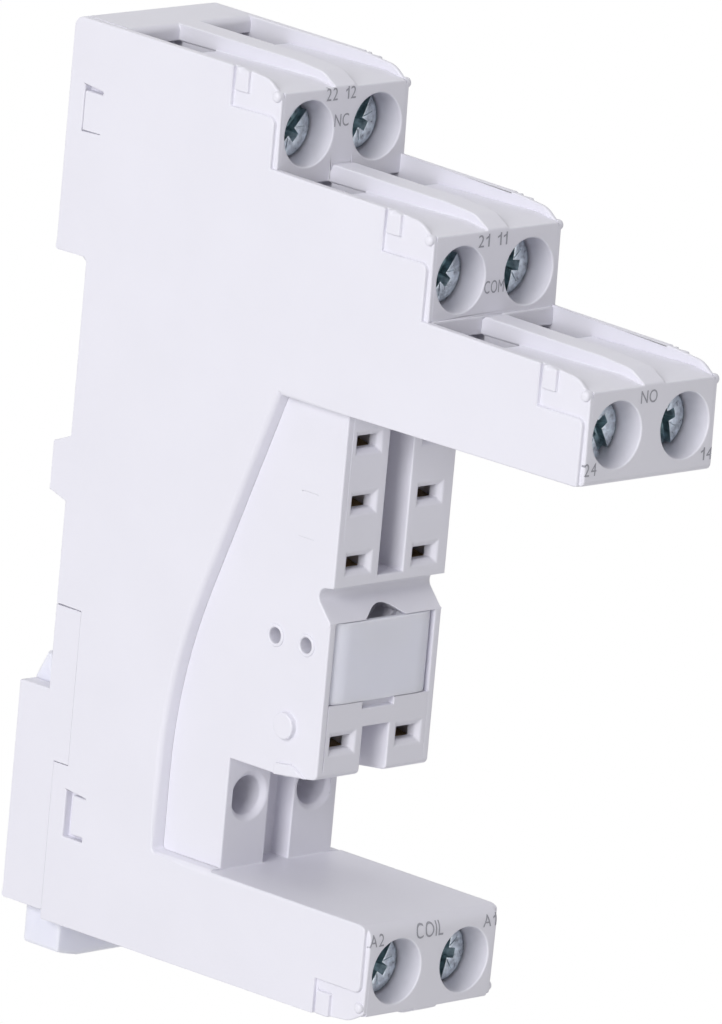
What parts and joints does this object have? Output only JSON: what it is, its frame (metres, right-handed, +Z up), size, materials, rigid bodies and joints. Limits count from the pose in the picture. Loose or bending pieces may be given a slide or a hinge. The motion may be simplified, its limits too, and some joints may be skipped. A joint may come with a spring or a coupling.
{
  "type": "relay socket",
  "caption": "Slim plug-in relay socket for a 35 mm rail, with stepped screw-clamp terminal tiers, pin slots, a module bay and a sprung rail latch.",
  "frame": {"origin": "mid width, on the plane where the rail's front face seats, at the height of the rail's centre line", "axes": "+X along the width, -Y towards the user (the terminals and the relay face that way), +Z up in use; the rail runs along X"},
  "size_m": [0.0152, 0.0608, 0.0787],
  "materials": {
    "housing": "light grey fine-textured moulding",
    "latch_nylon": "natural milky nylon, slightly translucent",
    "insert_nylon": "natural milky nylon, slightly translucent",
    "screw_zinc": "bright zinc with a bluish cast",
    "cage_steel": "zinc plated steel",
    "contact_brass": "plain bronze strip"
  },
  "bodies": {
    "socket": {"main_body": "housing", "left_cover": "housing", "right_cover": "housing", "insert_block": "insert_nylon", "nc_left_contact": "contact_brass", "nc_right_contact": "contact_brass", "com_left_contact": "contact_brass", "com_right_contact": "contact_brass", "no_left_contact": "contact_brass", "no_right_contact": "contact_brass", "coil_left_contact": "contact_brass", "coil_right_contact": "contact_brass"},
    "latch": {"rail_latch": "latch_nylon"},
    "nc_left_screw": {"nc_left_screw": "screw_zinc"},
    "nc_left_cage": {"nc_left_cage": "cage_steel"},
    "nc_right_screw": {"nc_right_screw": "screw_zinc"},
    "nc_right_cage": {"nc_right_cage": "cage_steel"},
    "com_left_screw": {"com_left_screw": "screw_zinc"},
    "com_left_cage": {"com_left_cage": "cage_steel"},
    "com_right_screw": {"com_right_screw": "screw_zinc"},
    "com_right_cage": {"com_right_cage": "cage_steel"},
    "no_left_screw": {"no_left_screw": "screw_zinc"},
    "no_left_cage": {"no_left_cage": "cage_steel"},
    "no_right_screw": {"no_right_screw": "screw_zinc"},
    "no_right_cage": {"no_right_cage": "cage_steel"},
    "coil_left_screw": {"coil_left_screw": "screw_zinc"},
    "coil_left_cage": {"coil_left_cage": "cage_steel"},
    "coil_right_screw": {"coil_right_screw": "screw_zinc"},
    "coil_right_cage": {"coil_right_cage": "cage_steel"}
  },
  "joints": [
    {"name": "latch_slide", "type": "slide", "parent": "socket", "child": "latch", "axis": [0, 0, -1], "range_m": [0, 0.0026], "stiffness_N_per_m": 1200, "springref_m": -0.001},
    {"name": "nc_left_turn", "type": "hinge", "parent": "socket", "child": "nc_left_screw", "pos_m": [-0.00385, -0.0173, 0.03245], "axis": [0, 1, 0], "range_deg": [0, 2160]},
    {"name": "nc_left_clamp", "type": "slide", "parent": "socket", "child": "nc_left_cage", "axis": [0, -1, 0], "range_m": [0, 0.0025]},
    {"name": "nc_right_turn", "type": "hinge", "parent": "socket", "child": "nc_right_screw", "pos_m": [0.00385, -0.0173, 0.03245], "axis": [0, 1, 0], "range_deg": [0, 2160]},
    {"name": "nc_right_clamp", "type": "slide", "parent": "socket", "child": "nc_right_cage", "axis": [0, -1, 0], "range_m": [0, 0.0025]},
    {"name": "com_left_turn", "type": "hinge", "parent": "socket", "child": "com_left_screw", "pos_m": [-0.00385, -0.0356, 0.02445], "axis": [0, 1, 0], "range_deg": [0, 2160]},
    {"name": "com_left_clamp", "type": "slide", "parent": "socket", "child": "com_left_cage", "axis": [0, -1, 0], "range_m": [0, 0.0025]},
    {"name": "com_right_turn", "type": "hinge", "parent": "socket", "child": "com_right_screw", "pos_m": [0.00385, -0.0356, 0.02445], "axis": [0, 1, 0], "range_deg": [0, 2160]},
    {"name": "com_right_clamp", "type": "slide", "parent": "socket", "child": "com_right_cage", "axis": [0, -1, 0], "range_m": [0, 0.0025]},
    {"name": "no_left_turn", "type": "hinge", "parent": "socket", "child": "no_left_screw", "pos_m": [-0.00385, -0.0541, 0.016], "axis": [0, 1, 0], "range_deg": [0, 2160]},
    {"name": "no_left_clamp", "type": "slide", "parent": "socket", "child": "no_left_cage", "axis": [0, -1, 0], "range_m": [0, 0.0025]},
    {"name": "no_right_turn", "type": "hinge", "parent": "socket", "child": "no_right_screw", "pos_m": [0.00385, -0.0541, 0.016], "axis": [0, 1, 0], "range_deg": [0, 2160]},
    {"name": "no_right_clamp", "type": "slide", "parent": "socket", "child": "no_right_cage", "axis": [0, -1, 0], "range_m": [0, 0.0025]},
    {"name": "coil_left_turn", "type": "hinge", "parent": "socket", "child": "coil_left_screw", "pos_m": [-0.00385, -0.0356, -0.0327], "axis": [0, 1, 0], "range_deg": [0, 2160]},
    {"name": "coil_left_clamp", "type": "slide", "parent": "socket", "child": "coil_left_cage", "axis": [0, -1, 0], "range_m": [0, 0.0025]},
    {"name": "coil_right_turn", "type": "hinge", "parent": "socket", "child": "coil_right_screw", "pos_m": [0.00385, -0.0356, -0.0327], "axis": [0, 1, 0], "range_deg": [0, 2160]},
    {"name": "coil_right_clamp", "type": "slide", "parent": "socket", "child": "coil_right_cage", "axis": [0, -1, 0], "range_m": [0, 0.0025]}
  ],
  "couplings": [
    {"joint": "nc_left_turn", "follows": "nc_left_clamp", "rad_per_m": 12566},
    {"joint": "nc_right_turn", "follows": "nc_right_clamp", "rad_per_m": 12566},
    {"joint": "com_left_turn", "follows": "com_left_clamp", "rad_per_m": 12566},
    {"joint": "com_right_turn", "follows": "com_right_clamp", "rad_per_m": 12566},
    {"joint": "no_left_turn", "follows": "no_left_clamp", "rad_per_m": 12566},
    {"joint": "no_right_turn", "follows": "no_right_clamp", "rad_per_m": 12566},
    {"joint": "coil_left_turn", "follows": "coil_left_clamp", "rad_per_m": 12566},
    {"joint": "coil_right_turn", "follows": "coil_right_clamp", "rad_per_m": 12566}
  ]
}
